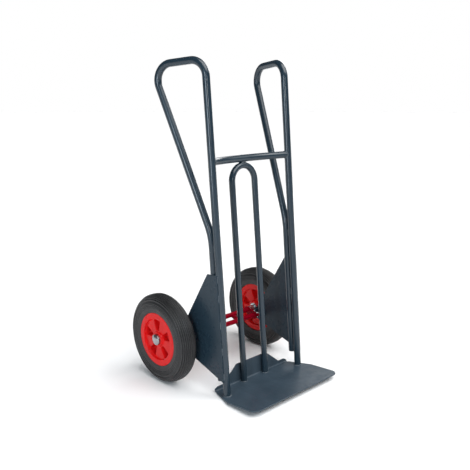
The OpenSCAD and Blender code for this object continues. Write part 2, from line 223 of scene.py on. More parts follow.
def tidy_mesh(obj, sharp_angle=40):
    """Merges doubled points, turns the faces outward and smooths all but sharp edges."""
    work = bmesh.new()
    work.from_mesh(obj.data)
    bmesh.ops.remove_doubles(work, verts=work.verts, dist=1e-7)
    bmesh.ops.recalc_face_normals(work, faces=work.faces)
    for face in work.faces:
        face.smooth = True
    limit = math.radians(sharp_angle)
    for edge in work.edges:
        edge.smooth = edge.calc_face_angle(0.0) < limit
    work.to_mesh(obj.data)
    work.free()


def weigh_normals(obj):
    """Keeps large flat faces flat in shading next to small rounded edges."""
    modifier = obj.modifiers.new("weighted", "WEIGHTED_NORMAL")
    modifier.keep_sharp = True
    modifier.weight = 100


def join(name, parts):
    """One mesh object from several, so that a node's group of solids is one piece."""
    work = bmesh.new()
    for part in parts:
        work.from_mesh(part.data)
        bpy.data.objects.remove(part)
    mesh = bpy.data.meshes.new(name)
    work.to_mesh(mesh)
    work.free()
    return add_object(name, mesh)


def skin(rings, count, rings_close=True, points_close=True):
    """The faces between neighbouring rings of count points each."""
    faces = []
    for k in range(rings if rings_close else rings - 1):
        near, far = k * count, ((k + 1) % rings) * count
        for p in range(count if points_close else count - 1):
            q = (p + 1) % count
            faces.append((near + p, near + q, far + q, far + p))
    return faces


def sweep_rings(path, radii, sides, closed):
    """Rings of points around a path, one radius per point, carried without twist."""
    count = len(path)
    rings = []
    normal = None
    for k, here in enumerate(path):
        before = path[k - 1] if closed or k > 0 else path[0]
        after = path[(k + 1) % count] if closed or k < count - 1 else path[-1]
        along = (after - before).normalized()
        if normal is None:
            normal = along.orthogonal().normalized()
        normal = (normal - along * normal.dot(along)).normalized()
        side = along.cross(normal)
        rings.append([
            here + radii[k] * (math.cos(a) * normal + math.sin(a) * side)
            for a in (2 * math.pi * s / sides for s in range(sides))
        ])
    return rings


def sweep(name, path, radius, sides=24, closed=False):
    """A round bar along a path. The radius is one number or one per point."""
    radii = radius if isinstance(radius, list) else [radius] * len(path)
    verts = [v for ring in sweep_rings(path, radii, sides, closed) for v in ring]
    faces = skin(len(path), sides, rings_close=closed)
    if not closed:
        faces.append(tuple(reversed(range(sides))))
        faces.append(tuple((len(path) - 1) * sides + s for s in range(sides)))
    return piece(name, verts, faces)


def lathe(name, profile, steps, centre, side=1, closed=True):
    """Turns a profile of (x, radius) points round the X axis through centre, which is in the
    truck's axes. side is -1 for the left, where X runs the other way."""
    verts = []
    for k in range(steps):
        a = 2 * math.pi * k / steps
        for x, r in profile:
            verts.append(TRUCK @ Vector((
                side * (centre[0] + x),
                centre[1] + r * math.cos(a),
                centre[2] + r * math.sin(a),
            )))
    return piece(name, verts, skin(steps, len(profile), points_close=closed))


def rounded(points, radius, steps=3):
    """A closed outline of (x, y) points with its corners rounded. The radius is one number
    or one per corner."""
    out = []
    count = len(points)
    radii = radius if isinstance(radius, list) else [radius] * count
    for k in range(count):
        here = Vector(points[k])
        to_last = Vector(points[k - 1]) - here
        to_next = Vector(points[(k + 1) % count]) - here
        bend = to_last.angle(to_next)
        reach = min(radii[k] / math.tan(bend / 2), 0.45 * to_last.length, 0.45 * to_next.length)
        start = here + to_last.normalized() * reach
        end = here + to_next.normalized() * reach
        for s in range(steps + 1):
            t = s / steps
            out.append(tuple(start.lerp(here, t).lerp(here.lerp(end, t), t)))
    return out


def ring_profile(x1, x2, r1, r2, bevel):
    """The section of a ring with rounded edges, for lathe()."""
    return rounded([(x1, r1), (x2, r1), (x2, r2), (x1, r2)], bevel)


def arc(centre, radius, start, end, steps):
    """Points of an arc in a plane, angles in radians."""
    return [
        (centre[0] + radius * math.cos(a), centre[1] + radius * math.sin(a))
        for a in (start + (end - start) * k / steps for k in range(steps + 1))
    ]


def sheet_metal(name, loops, thickness, bevel):
    """A flat piece from outlines in its own XY plane, holes included, with rounded edges.
    It is centred on Z = 0."""
    curve = bpy.data.curves.new(name, "CURVE")
    curve.dimensions = "2D"
    curve.fill_mode = "BOTH"
    curve.extrude = thickness / 2 - bevel
    curve.bevel_depth = bevel
    curve.bevel_resolution = 2
    curve.offset = -bevel
    for loop in loops:
        spline = curve.splines.new("POLY")
        spline.points.add(len(loop) - 1)
        for point, (x, y) in zip(spline.points, loop):
            point.co = (x, y, 0, 1)
        spline.use_cyclic_u = True
    source = add_object(name + "_outline", curve)
    bpy.context.view_layer.update()
    mesh = bpy.data.meshes.new_from_object(source.evaluated_get(
        bpy.context.evaluated_depsgraph_get()))
    bpy.data.objects.remove(source)
    bpy.data.curves.remove(curve)
    return add_object(name, mesh)


def mirrored(points, side):
    """Points of the right side, or the same points on the left."""
    return [(side * x, y, z) for x, y, z in points]


def place_plate(obj, x, side):
    """Stands a flat piece, drawn as (Y, Z) in the truck's axes, across X at x."""
    stand = TRUCK @ Matrix(((0, 0, side, side * x), (1, 0, 0, 0), (0, 1, 0, 0), (0, 0, 0, 1)))
    obj.data.transform(stand)
    if side < 0:
        obj.data.flip_normals()
    tidy_mesh(obj)
    weigh_normals(obj)
    return obj


# ------------------------------------------------------------------ materials

class Look:
    """A procedural material: a shader, and the nodes that vary it over the surface."""

    def __init__(self, name, roughness, metallic=0.0, specular=0.5):
        self.material = bpy.data.materials.new(name)
        self.material.use_nodes = True
        self.nodes = self.material.node_tree.nodes
        self.links = self.material.node_tree.links
        self.shader = self.nodes["Principled BSDF"]
        self.shader.inputs["Roughness"].default_value = roughness
        self.shader.inputs["Metallic"].default_value = metallic
        self.shader.inputs["Specular IOR Level"].default_value = specular
        self.places = self.nodes.new("ShaderNodeTexCoord").outputs["Object"]

    def node(self, kind, inputs, output):
        """A new node's output, with its inputs set to values or linked to other outputs."""
        node = self.nodes.new("ShaderNode" + kind)
        for name, value in inputs.items():
            if isinstance(value, bpy.types.NodeSocket):
                self.links.new(value, node.inputs[name])
            else:
                node.inputs[name].default_value = value
        return node.outputs[output]

    def stretched(self, scale):
        """The piece's own coordinates, stretched differently along each axis."""
        return self.node("Mapping", {"Scale": scale, "Vector": self.places}, "Vector")

    def noise(self, scale, detail, places=None):
        return self.node("TexNoise", {
            "Scale": scale, "Detail": detail, "Vector": places or self.places}, "Fac")

    def cells(self, scale):
        return self.node("TexVoronoi", {"Scale": scale, "Vector": self.places}, "Color")

    def colours(self, value, stops):
        """Colours along a ramp, as (position, (r, g, b)) stops."""
        ramp = self.nodes.new("ShaderNodeValToRGB")
        elements = ramp.color_ramp.elements
        for element, (position, colour) in zip(elements, stops):
            element.position = position
            element.color = (*colour, 1.0)
        self.links.new(value, ramp.inputs["Fac"])
        return ramp.outputs["Color"]

    def mottled(self, scale, detail, dark, light):
        """Soft patches between two colours."""
        return self.colours(self.noise(scale, detail), [(0.3, dark), (0.7, light)])

    def multiply(self, colour, other, share=1.0):
        node = self.nodes.new("ShaderNodeMix")
        node.data_type = "RGBA"
        node.blend_type = "MULTIPLY"
        node.inputs["Factor"].default_value = share
        self.links.new(colour, node.inputs["A"])
        self.links.new(other, node.inputs["B"])
        return node.outputs["Result"]

    def base(self, colour):
        self.links.new(colour, self.shader.inputs["Base Color"])

    def rough(self, scale, detail, low, high):
        """Roughness that wanders between low and high, from the middle range of a noise."""
        wander = self.node("MapRange", {
            "Value": self.noise(scale, detail), "From Min": 0.35, "From Max": 0.65,
            "To Min": low, "To Max": high}, "Result")
        self.links.new(wander, self.shader.inputs["Roughness"])

    def bump(self, scale, detail, height, strength):
        """A fine relief of about height metres."""
        relief = self.node("Bump", {
            "Height": self.noise(scale, detail), "Distance": height, "Strength": strength}, "Normal")
        self.links.new(relief, self.shader.inputs["Normal"])


def grey(level):
    return (level, level, level)


def powder_coat(name, dark, light, rough_low=0.26, rough_high=0.31, specular=0.36):
    """Satin powder coat: an orange-peel relief and slightly uneven colour and gloss."""
    look = Look(name, 0.3, specular=specular)
    colour = look.mottled(9.0, 4.0, dark, light)
    speckle = look.colours(look.noise(1400.0, 1.0), [(0.35, grey(0.92)), (0.6, grey(1.0))])
    look.base(look.multiply(colour, speckle))
    look.rough(35.0, 5.0, rough_low, rough_high)
    look.bump(520.0, 2.0, 0.00004, 0.25)
    return look


def plate_coat():
    return powder_coat("powder_coat_plates", (0.0135, 0.028, 0.042), (0.0165, 0.033, 0.048),
                       specular=0.25).material


def tube_coat():
    """The coat flows smoother and glossier on the round tubes. Its base is a darker copy of the plates'
    coat, as painted shade.
    """
    # the darker base colours are painted shade on the same coat as the plates
    return powder_coat("powder_coat_tubes", (0.0105, 0.024, 0.037), (0.0130, 0.029, 0.044),
                       0.20, 0.25, 0.55).material


def toe_coat():
    """The same coat on the toe plate, with a lighter base that is painted light on its upward-facing
    top, and the faint rubbed streaks that loads leave.
    """
    # these base colours are lighter than the other coats' as painted light; the streaks below are wear
    look = powder_coat("powder_coat_toe_plate", (0.030, 0.048, 0.066), (0.040, 0.062, 0.084),
                       0.36, 0.5)
    streaks = look.noise(14.0, 6.0, look.stretched((9.0, 1.0, 1.0)))
    rubbed = look.colours(streaks, [(0.42, grey(0.9)), (0.75, (1.25, 1.22, 1.2))])
    before = look.shader.inputs["Base Color"].links[0].from_socket
    look.base(look.multiply(before, rubbed, 0.6))
    return look.material


def weld_coat():
    """Coat over a weld bead, which gathers a little thicker and glossier, with a base much lighter than
    the frame's coat as a painted highlight.
    """
    look = Look("powder_coat_on_weld_painted_highlight", 0.3, specular=0.45)
    # the light base colours are a painted highlight on the beads
    look.base(look.mottled(160.0, 3.0, (0.045, 0.062, 0.078), (0.085, 0.103, 0.12)))
    look.rough(220.0, 3.0, 0.2, 0.3)
    look.bump(700.0, 2.0, 0.0002, 0.5)
    return look.material


def red_paint():
    look = Look("red_bar_paint", 0.4, specular=0.06)
    # the red is darker than the paint's own colour: painted shade, as the bars sit in shade
    look.base(look.mottled(22.0, 4.0, (0.22, 0.0005, 0.009), (0.30, 0.001, 0.013)))
    look.rough(60.0, 4.0, 0.34, 0.46)
    look.bump(480.0, 2.0, 0.0001, 0.3)
    return look.material


def rim_plastic():
    """Glossy injection-moulded plastic with faint flow marks."""
    look = Look("rim_plastic_red", 0.22, specular=0.14)
    flow = look.noise(30.0, 5.0, look.stretched((0.5, 1.6, 1.6)))
    look.base(look.colours(flow, [(0.3, (0.63, 0.008, 0.009)), (0.7, (0.69, 0.010, 0.010))]))
    look.rough(90.0, 4.0, 0.13, 0.19)
    look.bump(260.0, 2.0, 0.00005, 0.15)
    return look.material


def tyre_rubber():
    """Dull rubber with a dusty bloom and a fine grain."""
    look = Look("tyre_rubber", 0.5, specular=0.34)
    bloom = look.colours(look.noise(18.0, 6.0), [
        (0.3, (0.016, 0.016, 0.017)), (0.72, (0.026, 0.026, 0.027))])
    specks = look.mottled(900.0, 2.0, grey(0.8), grey(1.1))
    look.base(look.multiply(bloom, specks))
    look.rough(40.0, 5.0, 0.32, 0.44)
    look.bump(1100.0, 3.0, 0.00015, 0.5)
    return look.material


def metal(name, dark, light, rough_low, rough_high, spangle=0.0):
    """Bare or plated metal. spangle is the share of the plating's crystal pattern."""
    look = Look(name, 0.35, metallic=1.0)
    colour = look.mottled(45.0, 4.0, dark, light)
    if spangle:
        facets = look.colours(look.cells(320.0), [(0.0, (0.82, 0.84, 0.87)), (1.0, (1.0, 1.0, 0.98))])
        colour = look.multiply(colour, facets, spangle)
    look.base(colour)
    look.rough(120.0, 4.0, rough_low, rough_high)
    look.bump(500.0, 3.0, 0.00005, 0.4)
    return look.material


def black_plastic():
    look = Look("cap_plastic_black", 0.55)
    look.base(look.mottled(60.0, 4.0, (0.012, 0.013, 0.014), (0.022, 0.023, 0.025)))
    look.rough(200.0, 3.0, 0.48, 0.62)
    look.bump(1500.0, 2.0, 0.0002, 0.5)
    return look.material


PLATE_COAT = plate_coat()
TUBE_COAT = tube_coat()
TOE_COAT = toe_coat()
WELD_COAT = weld_coat()
RED = red_paint()
RIM_RED = rim_plastic()
RUBBER = tyre_rubber()
ZINC = metal("zinc_plate", (0.55, 0.57, 0.6), (0.74, 0.75, 0.76), 0.22, 0.36, spangle=0.8)
SPRING_ZINC = metal("spring_zinc", (0.62, 0.64, 0.66), (0.82, 0.83, 0.84), 0.16, 0.28)
CLIP_STEEL = metal("clip_steel", (0.13, 0.135, 0.15), (0.22, 0.225, 0.24), 0.3, 0.42)
BEARING_STEEL = metal("bearing_steel", (0.5, 0.51, 0.52), (0.66, 0.67, 0.68), 0.12, 0.2)
CAP_ZINC = metal("hub_cap_zinc", (0.3, 0.31, 0.32), (0.42, 0.425, 0.43), 0.16, 0.26, spangle=0.3)
PLASTIC = black_plastic()


# ------------------------------------------------------------------ frame

def fillet_path(corners, radii):
    """A path through corners, with an arc of the given radius at each inner corner."""
    step = math.radians(4)
    path = [corners[0]]
    for k in range(1, len(corners) - 1):
        here, radius = corners[k], radii[k - 1]
        into = (here - corners[k - 1]).normalized()
        out = (corners[k + 1] - here).normalized()
        turn = into.angle(out)
        reach = radius * math.tan(turn / 2)
        start = here - into * reach
        inward = (out - into * into.dot(out)).normalized()
        centre = start + inward * radius
        count = max(6, round(turn / step))
        for s in range(count + 1):
            a = turn * s / count
            path.append(centre + radius * (into * math.sin(a) - inward * math.cos(a)))
    path.append(corners[-1])
    return path


def split_long(path, longest=0.05):
    """Adds points so that no straight stretch is longer than longest."""
    out = [path[0]]
    for here, there in zip(path, path[1:]):
        pieces = max(1, math.ceil((there - here).length / longest))
        out += [here.lerp(there, s / pieces) for s in range(1, pieces + 1)]
    return out


def side_tubes():
    foot_gap, grip_drop = 0.0003, 0.001
    for name, side in SIDES.items():
        corners = [TRUCK @ Vector(p) for p in mirrored([
            (UPRIGHT_X, 0, foot_gap),
            (UPRIGHT_X, 0, HANDLE_H),
            (UPRIGHT_X + GRIP_FLARE, GRIP_REACH, HANDLE_H - grip_drop),
            (UPRIGHT_X, REAR_GAP, KNEE_H),
            (UPRIGHT_X, REAR_GAP, REAR_FOOT_H),
        ], side)]
        path = split_long(fillet_path(corners, [GRIP_BEND_R, GRIP_BEND_R, KNEE_BEND_R]))
        tube = sweep(f"{name}_handle_tube", path, TUBE_R - PLAY, sides=40)
        finish_piece(tube, TUBE_COAT, "frame", [f"{name}_side_tube"])


def toe_blank():
    """Outline of the toe plate before it is folded: Y runs on round the fold and up the riser."""
    fold = math.pi / 2 * FOLD_R
    up = FOLD_Y + fold - FOLD_R
    front = -TOE_REACH + TOE_CORNER_R
    inset = TOE_HALF_W - TOE_CORNER_R
    heel = (HEEL_HALF_W - HEEL_CORNER_R, FOLD_Y - HEEL_CORNER_R)
    end_h = FOLD_R + 0.001           # how far the flange's ends stand upright before they slant
    end_top = up + end_h
    slant = FLANGE_SLANT * (FLANGE_H - end_h)
    corner_steps = 4
    half = [
        (FLANGE_HALF_W, end_top), (FLANGE_HALF_W - slant, up + FLANGE_H),
        (RISER_FOOT_HALF_W, up + FLANGE_H), (RISER_TOP_HALF_W, up + RISER_H),
    ]
    half_radii = [0.004, 0.009, 0.006, 0.004]
    base = [(-FLANGE_HALF_W, FOLD_Y), (FLANGE_HALF_W, FOLD_Y)]
    riser = rounded(
        half + [(-x, y) for x, y in reversed(half)] + base,
        half_radii + half_radii[::-1] + [0.003, 0.003], corner_steps)
    riser = riser[:-len(base) * (corner_steps + 1)]     # the base's corners only close the outline
    right = (
        arc((inset, front), TOE_CORNER_R, -math.pi / 2, 0, 12)
        + [(TOE_HALF_W, TOE_SIDE_Y)]
        + arc(heel, HEEL_CORNER_R, 0, math.radians(62), 6)
        + [(FLANGE_HALF_W, FOLD_Y + 0.001)]
    )
    return right + riser + [(-x, y) for x, y in reversed(right)]


def fold_blank(point):
    """Where a point of the flat blank, drawn with the plate's top at Z = 0, is on the folded plate."""
    x, y, z = point
    along = y - FOLD_Y
    if along <= 0:
        return Vector((x, y, z))
    turn = min(along / FOLD_R, math.pi / 2)
    r = FOLD_R - z
    beyond = along - turn * FOLD_R
    return Vector((x, FOLD_Y + r * math.sin(turn), FOLD_R - r * math.cos(turn) + beyond))


def toe_plate():
    obj = sheet_metal("toe_plate_pressing", [toe_blank()], TOE_T - PLAY, bevel=0.0012)
    work = bmesh.new()
    work.from_mesh(obj.data)
    bmesh.ops.remove_doubles(work, verts=work.verts, dist=1e-6)
    cuts = 10
    fold = math.pi / 2 * FOLD_R
    for k in range(cuts + 1):
        everything = list(work.verts) + list(work.edges) + list(work.faces)
        bmesh.ops.bisect_plane(
            work, geom=everything, plane_co=(0, FOLD_Y + fold * k / cuts, 0), plane_no=(0, 1, 0))
    for vert in work.verts:
        vert.co = TRUCK @ fold_blank(vert.co - Vector((0, 0, TOE_T / 2)))
    work.to_mesh(obj.data)
    work.free()
    tidy_mesh(obj, sharp_angle=50)
    weigh_normals(obj)
    finish_piece(obj, TOE_COAT, "frame", ["toe_plate"])


def touch(point, centre, radius, side):
    """Where a line from a point touches a circle, on its left (1) or right (-1)."""
    away = Vector(centre) - Vector(point)
    d = away.length
    a = math.atan2(away.y, away.x) + side * math.asin(radius / d)
    reach = math.sqrt(d * d - radius * radius)
    return (point[0] + reach * math.cos(a), point[1] + reach * math.sin(a))


def side_plates():
    nose = (PIVOT.y, PIVOT.z)
    top = (SIDE_REAR_Y, SIDE_TOP_H)
    low = (SIDE_FRONT_Y, SIDE_LOW_H)
    upper = touch(top, nose, SIDE_NOSE_R, 1)
    lower = touch(low, nose, SIDE_NOSE_R, -1)
    start = math.atan2(lower[1] - nose[1], lower[0] - nose[0])
    end = math.atan2(upper[1] - nose[1], upper[0] - nose[0])
    corner_steps = 4
    corners = rounded([lower, upper, top, (SIDE_FRONT_Y, SIDE_TOP_H), low], 0.003, corner_steps)
    # the nose's arc stands in for the first two corners
    outline = arc(nose, SIDE_NOSE_R, start, end, 20) + corners[2 * (corner_steps + 1):]
    hole = arc(nose, BAR_R + RUN, 0, 2 * math.pi, 40)[:-1]
    for name, side in SIDES.items():
        plate = sheet_metal(f"{name}_gusset_plate", [outline, hole], SIDE_T, bevel=0.0006)
        place_plate(plate, SIDE_X + SIDE_T / 2, side)
        finish_piece(plate, PLATE_COAT, "frame", [f"{name}_side_plate"])


def stop_place(side):
    """Centre of a stop pin: side 1 holds the link's tail at rest, -1 when swung down."""
    a = LINK_TAIL_ANGLE - (SWING if side < 0 else 0)
    return Vector((
        0,
        PIVOT.y + LINK_TAIL * math.cos(a) - side * STOP_REACH * math.sin(a),
        PIVOT.z + LINK_TAIL * math.sin(a) + side * STOP_REACH * math.cos(a),
    ))


def stop_pins():
    """Pins with a small rounded end, from the side plates in to the link plates."""
    start = LINK_X - 0.001
    length = SIDE_X - start
    profile = [(0, 0), (0, STOP_PIN_R - 0.0006), (0.0002, STOP_PIN_R - 0.0002),
               (0.0006, STOP_PIN_R), (length, STOP_PIN_R), (length, 0)]
    pins = [
        lathe("pin", profile, 32, stop_place(stop) + Vector((start, 0, 0)), side, closed=False)
        for side in SIDES.values() for stop in (1, -1)
    ]
    finish_piece(join("swing_stops", pins), TUBE_COAT, "frame", ["swing_stop_pins"])


def tube_caps():
    """Plugs pushed into the rear tubes' lower ends, each with a rounded head."""
    head_t, edge_r = 0.003, 0.0016
    plug_r, plug_top = TUBE_R - 0.0022, 0.011
    profile = [(0, -head_t)] + arc((TUBE_R - edge_r, -0.0014), edge_r, -math.pi / 2, 0, 5)
    profile += [(TUBE_R, -0.0002), (plug_r, 0.0), (plug_r, plug_top), (0, plug_top)]
    steps = 40
    caps = []
    for side in SIDES.values():
        verts = []
        for k in range(steps):
            a = 2 * math.pi * k / steps
            for r, z in profile:
                verts.append(TRUCK @ Vector((
                    side * UPRIGHT_X + r * math.cos(a), REAR_GAP + r * math.sin(a), REAR_FOOT_H + z)))
        caps.append(piece("cap", verts, skin(steps, len(profile), points_close=False)))
    finish_piece(join("rear_tube_plugs", caps), PLASTIC, "frame", ["lower_tube_caps"])


# ------------------------------------------------------------------ welds

def bead(points, side, radius, seed, closed=False):
    """A weld bead along points in the truck's axes, with the ripples that the torch leaves.
    The points are those of the right side, and side is -1 for the same bead on the left."""
    chance = random.Random(seed)
    path = split_long([TRUCK @ Vector(p) for p in mirrored(points, side)], 0.0006)
    if closed:
        path = path[:-1]
    ripple = 0.0021
    run = 0.0
    radii = []
    for k, here in enumerate(path):
        run += (here - path[k - 1]).length if k else 0.0
        wave = 0.5 + 0.5 * math.cos(2 * math.pi * run / ripple)
        swell = 1.0 + 0.05 * chance.uniform(-1, 1)
        end = 1.0 if closed else min(1.0, 0.45 + 0.25 * min(k, len(path) - 1 - k))
        radii.append(radius * end * swell * (0.84 + 0.16 * wave))
    return sweep("weld", path, radii, sides=10, closed=closed)


def around(centre, radius, axis="z", start=0.0, end=2 * math.pi):
    """Points of a circle or arc round a line through centre along X or Z."""
    steps = 48
    points = []
    for k in range(steps + 1):
        a = start + (end - start) * k / steps
        u, v = radius * math.cos(a), radius * math.sin(a)
        offset = {"x": (0, u, v), "z": (u, v, 0)}[axis]
        points.append(tuple(c + o for c, o in zip(centre, offset)))
    return points


def cross_tube_end():
    """The line where the bowed cross tube meets the right upright."""
    arc_r = (UPRIGHT_X ** 2 + CROSS_BOW ** 2) / (2 * CROSS_BOW)
    slope = math.asin(UPRIGHT_X / arc_r)
    inward = Vector((-math.cos(slope), math.sin(slope), 0))
    across = Vector((math.sin(slope), math.cos(slope), 0))
    upright = Vector((UPRIGHT_X, 0, 0))
    steps = 48
    points = []
    for k in range(steps + 1):
        a = 2 * math.pi * k / steps
        offset = across * math.cos(a) * TUBE_R
        depth = math.sqrt(max(TUBE_R ** 2 - offset.length ** 2, 0.0))
        spot = upright + offset + inward * max(depth, 0.35 * TUBE_R)
        points.append((spot.x, spot.y, CROSS_H + TUBE_R * math.sin(a)))
    return points


def side_welds(side):
    """The beads on one side of the frame."""
    foot = around((UPRIGHT_X, 0, 0.0005), TUBE_R + 0.0004)
    hoop_foot = around((HOOP_X, CROSS_BOW, 0.0005), HOOP_R + 0.0003, "z",
                       math.radians(-200), math.radians(20))
    parts = [
        bead(foot, side, 0.0031, 1, closed=True),
        bead(cross_tube_end(), side, 0.0022, 2, closed=True),
        bead(hoop_foot, side, 0.0022, 3),
    ]

    def upright_bead(x, y, span, radius, seed):
        low, high = span
        parts.append(bead([(x, y, low), (x, y, high)], side, radius, seed))

    # hoop leg to the riser, a bead on each side of the leg near the riser's top
    for edge in (-1, 1):
        upright_bead(HOOP_X + edge * 0.0050, RISER_Y - 0.0011, (0.052, 0.070), 0.0018, 4)
    # upright to rear tube: short beads in the groove between them, inside and outside
    for span in ((0.062, 0.088), (0.300, 0.326), (0.540, 0.566)):
        for edge in (-1, 1):
            upright_bead(UPRIGHT_X + edge * 0.0046, REAR_GAP / 2, span, 0.0026, 5)
    # side plate to its tubes: along the upright's outer side and the plate's top edge
    edge_x = SIDE_X - 0.0002
    for span in ((0.062, 0.090), (0.160, 0.188), (0.260, 0.288), (0.360, 0.388), (0.432, 0.458)):
        upright_bead(edge_x, SIDE_FRONT_Y - 0.0003, span, 0.0019, 6)
    top = SIDE_TOP_H + 0.0004
    for y1, y2 in ((-0.0025, 0.005), (REAR_GAP - 0.005, REAR_GAP + 0.005)):
        parts.append(bead([(edge_x, y1, top), (edge_x, y2, top)], side, 0.0021, 7))
    return parts


def frame_welds():
    """Beads wherever two pieces of the frame meet."""
    for name, side in SIDES.items():
        obj = join(f"{name}_frame_welds", side_welds(side))
        finish_piece(obj, WELD_COAT, "frame")

    # hoop to the middle of the cross tube, one bead in front and one behind
    parts = []
    for edge in (-1, 1):
        y = CROSS_BOW + edge * 0.0075
        z = HOOP_TOP + HOOP_R - 0.0002
        parts.append(bead([(-0.011, y, z - 0.0010), (0, y, z), (0.011, y, z - 0.0010)], 1, 0.0024, 8))
    finish_piece(join("hoop_top_welds", parts), WELD_COAT, "frame")

    parts = []
    for side in SIDES.values():
        for stop in (1, -1):
            root = stop_place(stop) + Vector((SIDE_X, 0, 0))
            parts.append(bead(around(root, STOP_PIN_R, "x"), side, 0.0009, 9, closed=True))
    finish_piece(join("stop_pin_welds", parts), WELD_COAT, "frame")


def axle_welds():
    """Beads that hold the link plates and the lugs on the two bars."""
    parts = []
    across = Vector((0, -math.sin(LINK_ANGLE), math.cos(LINK_ANGLE)))
    along = Vector((0, math.cos(LINK_ANGLE), math.sin(LINK_ANGLE)))
    pivot, axle = Vector((0, PIVOT.y, PIVOT.z)), Vector((0, AXLE.y, AXLE.z))
    for side in SIDES.values():
        for centre in (pivot, axle):
            ring = around((LINK_X, centre.y, centre.z), BAR_R + 0.0002, "x")
            parts.append(bead(ring, side, 0.0018, 10, closed=True))
        for centre, way in ((pivot, 1), (axle, -1)):
            for edge in (-1, 1):
                spot = centre + along * way * 0.0068 + across * edge * (LUG_W / 2)
                line = [spot + Vector((x, 0, 0)) for x in (LUG_X - LUG_T / 2, LUG_X + LUG_T / 2)]
                parts.append(bead(line, side, 0.0014, 11))
            for edge in (-1, 1):
                spot = centre + along * way * (BAR_R + 0.0002)
                face = Vector((LUG_X + edge * LUG_T / 2, 0, 0))
                line = [spot + across * s * LUG_W / 2 * 0.8 + face for s in (-1, 0, 1)]
                parts.append(bead(line, side, 0.0015, 12))
    finish_piece(join("swing_axle_welds", parts), RED, "swing_axle")


# ------------------------------------------------------------------ swing axle

def bar_profile(groove_x, end_x):
    """Half of a bar's section: a chamfered end and a groove for a clip."""
    chamfer, depth, width = 0.0012, 0.0008, 0.0014
    return [
        (0, BAR_R), (groove_x, BAR_R), (groove_x, BAR_R - depth),
        (groove_x + width, BAR_R - depth), (groove_x + width, BAR_R),
        (end_x - chamfer, BAR_R), (end_x, BAR_R - chamfer), (end_x, 0),
    ]


def bars():
    for name, spot, node in (("lower_pivot_bar", PIVOT, "pivot_bar"), ("upper_axle_bar", AXLE, "axle")):
        end_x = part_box(node)[1].x
        half = bar_profile(end_x - GROOVE_INSET, end_x)
        profile = [(-x, r) for x, r in reversed(half)] + half[1:]
        obj = lathe(name, profile, 48, (0, spot.y, spot.z), closed=False)
        finish_piece(obj, RED, "swing_axle", [node])


def link_plates():
    beta = math.acos((LINK_PIVOT_R - LINK_AXLE_R) / LINK_LEN)
    tail_spread = math.asin(LINK_TAIL_R / LINK_PIVOT_R)
    end = LINK_TAIL + LINK_TAIL_END
    far = (LINK_LEN * math.cos(LINK_ANGLE), LINK_LEN * math.sin(LINK_ANGLE))

    def tail_corner(edge):
        a, b = LINK_TAIL_ANGLE, LINK_TAIL_ANGLE + edge * math.pi / 2
        return (end * math.cos(a) + LINK_TAIL_R * math.cos(b),
                end * math.sin(a) + LINK_TAIL_R * math.sin(b))

    # the third corner, at the pivot, only closes the tail's outline and is cut off again
    corner_steps = 3
    tail = rounded([tail_corner(-1), tail_corner(1), (0, 0)], 0.002, corner_steps)
    outline = (
        arc((0, 0), LINK_PIVOT_R, LINK_ANGLE + beta, LINK_TAIL_ANGLE - tail_spread, 6)
        + tail[:2 * (corner_steps + 1)]
        + arc((0, 0), LINK_PIVOT_R, LINK_TAIL_ANGLE + tail_spread, LINK_ANGLE - beta + 2 * math.pi, 24)
        + arc(far, LINK_AXLE_R, LINK_ANGLE - beta, LINK_ANGLE + beta, 20)
    )
    holes = [arc(c, BAR_R + RUN, 0, 2 * math.pi, 40)[:-1] for c in ((0, 0), far)]
    loops = [[(PIVOT.y + y, PIVOT.z + z) for y, z in loop] for loop in [outline] + holes]
    for name, side in SIDES.items():
        obj = sheet_metal(f"{name}_axle_link", loops, LINK_T, bevel=0.0005)
        place_plate(obj, LINK_X + LINK_T / 2, side)
        finish_piece(obj, RED, "swing_axle", [f"{name}_link_plate"])


def lugs():
    gap = 0.0096                     # the lugs run a trace into the bars
    along = (math.cos(LINK_ANGLE), math.sin(LINK_ANGLE))
    across = (-along[1], along[0])
    corners = []
    for d, s in ((gap, -1), (LINK_LEN - gap, -1), (LINK_LEN - gap, 1), (gap, 1)):
        corners.append((
            PIVOT.y + along[0] * d + across[0] * s * LUG_W / 2,
            PIVOT.z + along[1] * d + across[1] * s * LUG_W / 2,
        ))
    parts = []
    for side in SIDES.values():
        obj = sheet_metal("lug", [rounded(corners, 0.0012)], LUG_T, bevel=0.0006)
        parts.append(place_plate(obj, LUG_X, side))
    obj = join("bar_spacer_lugs", parts)
    weigh_normals(obj)
    finish_piece(obj, RED, "swing_axle", ["bar_lugs"])


def upper_tangent(c1, r1, c2, r2):
    """Angle of the normal of the upper line that touches two circles."""
    away = Vector(c2) - Vector(c1)
    return math.atan2(away.y, away.x) + math.acos((r1 - r2) / away.length)


